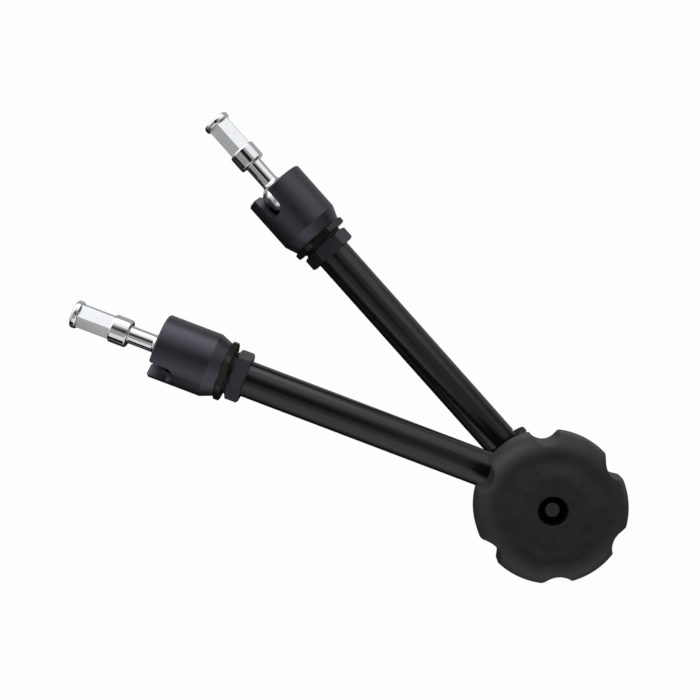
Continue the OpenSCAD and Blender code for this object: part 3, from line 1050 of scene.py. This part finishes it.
class KnobOperator(bpy.types.Operator):
    """Mould the knob and turn the bolt whose end shows in its bore"""

    bl_idname = "friction_arm.knob"
    bl_label = "Knob and bolt"

    def execute(self, context):
        knob = turned(knob_outline(), FINE_STEPS, ring=False)
        bmesh.ops.transform(knob, matrix=UPRIGHT, verts=knob.verts)
        notch_at = KNOB_D / 2 - NOTCH_DEPTH + NOTCH_R
        for i in range(NOTCHES):
            turn = Matrix.Rotation(math.radians(NOTCH_TURN + i * 360 / NOTCHES), 4, "Z")
            notch = standing_bar(KNOB_FOOT, KNOB_D, NOTCH_R, 72)
            bmesh.ops.transform(notch, matrix=turn @ Matrix.Translation((notch_at, 0, 0)), verts=notch.verts)
            knob = carved(knob, notch)
        knob = cast(knob, sizes().knob_voxel, sizes().knob_smoothing)
        knob = carved(knob, knob_core())
        finished(knob, "star_knob", FRONT, "clamp_knob", FINISHES["knob"], ["knob"])
        tip = 0.35
        thread_start = HUB_TOP - 2
        head_z = -ARM_OFFSET - CONE_TOP
        bolt = turned(
            [
                (head_z - CUT, 0),
                (head_z - CUT, BOLT_D / 2),
                (thread_start, BOLT_D / 2),
                *ridges(thread_start, BOLT_TOP - tip, BOLT_D / 2, 1.25),
                (BOLT_TOP, BOLT_D / 2 - tip),
                (BOLT_TOP, 0),
            ],
            ring=False,
        )
        head = hexagon(head_z - BOLT_HEAD_L, head_z - RUN_GAP, BOLT_HEAD_AF, 0)
        soften(head, sizes().edge_break)
        for mesh, name, nodes in ((bolt, "clamp_bolt_shank", ["clamp_bolt"]), (head, "clamp_bolt_head", [])):
            bmesh.ops.transform(mesh, matrix=UPRIGHT, verts=mesh.verts)
            finished(mesh, name, FRONT, "clamp_pull", FINISHES["plated_steel"], nodes)
        return {"FINISHED"}


# The camera's place in metres and its right, up and backward directions, in the row frame
CAMERA_AT = (-0.1177811, -0.1014843, 0.6772329)
CAMERA_RIGHT = (-0.9347317, -0.3542296, -0.0282506)
CAMERA_UP = (0.3552911, -0.9301072, -0.0931066)
CAMERA_BACK = (0.0067051, -0.0970669, 0.9952553)
# A sensor 36 mm wide behind a lens of this length in millimetres gives the photo's field of view
CAMERA_LENS = 63.388
# The paper hangs so far under the arm, in metres, that no pose of the arm reaches it
FLOOR_Z = -0.36


def soft_box(name, place, aim, size, power, colour=(0.95, 0.975, 1.0)):
    """A rectangular studio lamp that faces a point."""
    lamp = bpy.data.lights.new(name, "AREA")
    lamp.shape = "RECTANGLE"
    lamp.size, lamp.size_y = size
    lamp.energy = power * bpy.context.scene.friction_arm_sizes.lamp_power
    lamp.color = colour
    holder = bpy.data.objects.new(name, lamp)
    holder.location = place
    holder.rotation_euler = (Vector(aim) - Vector(place)).to_track_quat("-Z", "Y").to_euler()
    bpy.context.scene.collection.objects.link(holder)
    return holder


def black_card(name, place, directions, size, felt):
    """A black card that only mirrors see, square to the last of its three directions."""
    sheet = bmesh.new()
    bmesh.ops.create_grid(sheet, x_segments=1, y_segments=1, size=0.5)
    bmesh.ops.scale(sheet, vec=(*size, 1), verts=sheet.verts)
    stand = Matrix(directions).transposed().to_4x4()
    stand.translation = place
    bmesh.ops.transform(sheet, matrix=stand, verts=sheet.verts)
    card = as_object(sheet, name)
    card.data.materials.append(felt)
    card.visible_camera = False
    card.visible_shadow = False
    card.visible_diffuse = False
    card.visible_transmission = False


def shaded_card(centre):
    """A card that is black round the lens and pales towards its edges."""
    material = bpy.data.materials.new("shaded_card")
    material.use_nodes = True
    tree = material.node_tree
    tree.nodes.clear()
    place = add(tree, "ShaderNodeTexCoord").outputs["Object"]
    away = add(tree, "ShaderNodeVectorMath", {0: place, 1: centre}, operation="DISTANCE").outputs["Value"]
    pale = add(
        tree,
        "ShaderNodeMapRange",
        {"Value": away, "From Min": 0.13, "From Max": 0.34, "To Min": 0.01, "To Max": 0.42},
        interpolation_type="SMOOTHSTEP",
    ).outputs["Result"]
    glow = add(tree, "ShaderNodeEmission", {"Color": (1, 1, 1, 1), "Strength": pale})
    add(tree, "ShaderNodeOutputMaterial", {"Surface": glow.outputs[0]})
    return material


def seen_by(tree, kinds):
    """One where the ray is of any of those kinds, zero elsewhere."""
    path = add(tree, "ShaderNodeLightPath")
    value = path.outputs[kinds[0]]
    for kind in kinds[1:]:
        value = add(tree, "ShaderNodeMath", {0: value, 1: path.outputs[kind]}, operation="MAXIMUM").outputs[0]
    return value


def paper_material(colour):
    """White background paper: the camera and mirrors see it near white, with a faint shadow."""
    material = bpy.data.materials.new("background_paper")
    material.use_nodes = True
    tree = material.node_tree
    tree.nodes.clear()
    paper = add(tree, "ShaderNodeBsdfDiffuse", {"Color": colour, "Roughness": 1.0})
    glow = add(tree, "ShaderNodeEmission", {"Color": (1, 1, 1, 1), "Strength": 1.0})
    white_share = 0.985
    mirror_share = 0.28
    seen = seen_by(tree, ["Is Camera Ray", "Is Transmission Ray"])
    mirrored = seen_by(tree, ["Is Glossy Ray"])
    in_mirrors = add(tree, "ShaderNodeMath", {0: mirrored, 1: mirror_share}, operation="MULTIPLY").outputs[0]
    share = add(
        tree, "ShaderNodeMath", {0: seen, 1: white_share, 2: in_mirrors}, operation="MULTIPLY_ADD"
    ).outputs[0]
    both = add(tree, "ShaderNodeMixShader", {0: share, 1: paper.outputs[0], 2: glow.outputs[0]})
    # Clear from its underside, so that the arm can be looked at from below
    under = add(tree, "ShaderNodeNewGeometry").outputs["Backfacing"]
    clear = add(tree, "ShaderNodeBsdfTransparent")
    one_sided = add(tree, "ShaderNodeMixShader", {0: under, 1: both.outputs[0], 2: clear.outputs[0]})
    add(tree, "ShaderNodeOutputMaterial", {"Surface": one_sided.outputs[0]})
    return material


def studio_world():
    """White to the camera, a plain grey room to everything else."""
    world = bpy.data.worlds.new("studio")
    bpy.context.scene.world = world
    world.use_nodes = True
    tree = world.node_tree
    tree.nodes.clear()
    room = add(tree, "ShaderNodeBackground", {"Color": (1, 1, 1, 1), "Strength": 0.35})
    white = add(tree, "ShaderNodeBackground", {"Color": (1, 1, 1, 1), "Strength": 1.0})
    seen = seen_by(tree, ["Is Camera Ray", "Is Transmission Ray"])
    both = add(tree, "ShaderNodeMixShader", {0: seen, 1: room.outputs[0], 2: white.outputs[0]})
    add(tree, "ShaderNodeOutputWorld", {"Surface": both.outputs[0]})


class StageOperator(bpy.types.Operator):
    """Lay the paper, hang the lamps and set up the camera"""

    bl_idname = "friction_arm.stage"
    bl_label = "Photo stage"

    def execute(self, context):
        scene = context.scene
        sheet = bmesh.new()
        bmesh.ops.create_grid(sheet, x_segments=1, y_segments=1, size=8.0)
        bmesh.ops.translate(sheet, verts=sheet.verts, vec=(0, 0, FLOOR_Z))
        floor = as_object(sheet, "paper_floor")
        floor.data.materials.append(paper_material(context.scene.friction_arm_colours.floor))
        aim = (-0.13, -0.06, -0.02)
        right, up = Vector(CAMERA_RIGHT), Vector(CAMERA_UP)
        high = Vector((0, 0, 1))
        centre = Vector(aim)
        soft_box("high", centre + 0.95 * up + 0.05 * right + 0.5 * high, aim, (2.5, 1.25), 7.5)
        soft_box("edge", centre + 0.36 * up - 0.2 * right + 0.1 * high, aim, (1.0, 0.32), 0.95)
        soft_box("low", centre - 0.9 * up + 0.08 * right + 0.52 * high, aim, (1.9, 1.26), 4.2)
        # Between the directions of the two arms, so that its light runs along them and falls on the knob's rim
        beyond = 0.5 * up - 0.87 * right
        soft_box("side", centre + 0.95 * beyond + 0.35 * high, aim, (1.7, 0.9), 2.2)
        back = Vector(CAMERA_BACK)
        felt, tree, _ = new_material("black_felt")
        close(tree, base_color=(0.004, 0.004, 0.004, 1), roughness=1.0)
        over = Vector(CAMERA_AT) + 0.1 * back + 0.09 * up - 0.06 * right
        black_card("card_round_camera", over, (right, up, back), (0.9, 0.9), shaded_card(over))
        black_card("card_right", centre + 1.1 * right + 0.05 * high, (up, high, right), (1.2, 0.4), felt)
        under = Vector((centre.x, centre.y, FLOOR_Z + MILLIMETRE))
        black_card("card_under", under, (right, up, high), (2.6, 1.8), felt)
        # Square to the rear arm, on the side of its lower left
        facing = 0.747 * right + 0.665 * up
        across = 0.747 * up - 0.665 * right
        black_card("card_left", centre - 0.7 * facing + 0.03 * high, (across, high, facing), (0.5, 0.34), felt)
        studio_world()
        camera = bpy.data.cameras.new("camera")
        camera.sensor_width = 36
        camera.lens = CAMERA_LENS
        camera.clip_start = 0.01
        holder = bpy.data.objects.new("camera", camera)
        turn = Matrix((right, up, back)).transposed().to_4x4()
        turn.translation = Vector(CAMERA_AT)
        holder.matrix_world = turn
        scene.collection.objects.link(holder)
        scene.camera = holder
        scene.view_settings.view_transform = "Standard"
        return {"FINISHED"}


STEPS_IN_ORDER = ["finishes", "studs", "sockets", "nuts", "tubes", "elbow", "knob", "stage"]


class FrictionArmPanel(bpy.types.Panel):
    bl_label = "Friction arm"
    bl_idname = "VIEW3D_PT_friction_arm"
    bl_space_type = "VIEW_3D"
    bl_region_type = "UI"
    bl_category = "Friction Arm"

    def draw(self, context):
        layout = self.layout
        for group in (context.scene.friction_arm_sizes, context.scene.friction_arm_colours):
            for name in group.__annotations__:
                layout.prop(group, name)
        for name in STEPS_IN_ORDER:
            layout.operator(f"friction_arm.{name}")


CLASSES = (
    FrictionArmSizes,
    FrictionArmColours,
    FinishOperator,
    StudOperator,
    SocketOperator,
    NutOperator,
    TubeOperator,
    ElbowOperator,
    KnobOperator,
    StageOperator,
    FrictionArmPanel,
)


def register():
    for made in CLASSES:
        bpy.utils.register_class(made)
    bpy.types.Scene.friction_arm_sizes = PointerProperty(type=FrictionArmSizes)
    bpy.types.Scene.friction_arm_colours = PointerProperty(type=FrictionArmColours)


def unregister():
    del bpy.types.Scene.friction_arm_colours
    del bpy.types.Scene.friction_arm_sizes
    for made in reversed(CLASSES):
        bpy.utils.unregister_class(made)


def main():
    register()
    for name in STEPS_IN_ORDER:
        getattr(bpy.ops.friction_arm, name)()


if __name__ == "__main__":
    main()
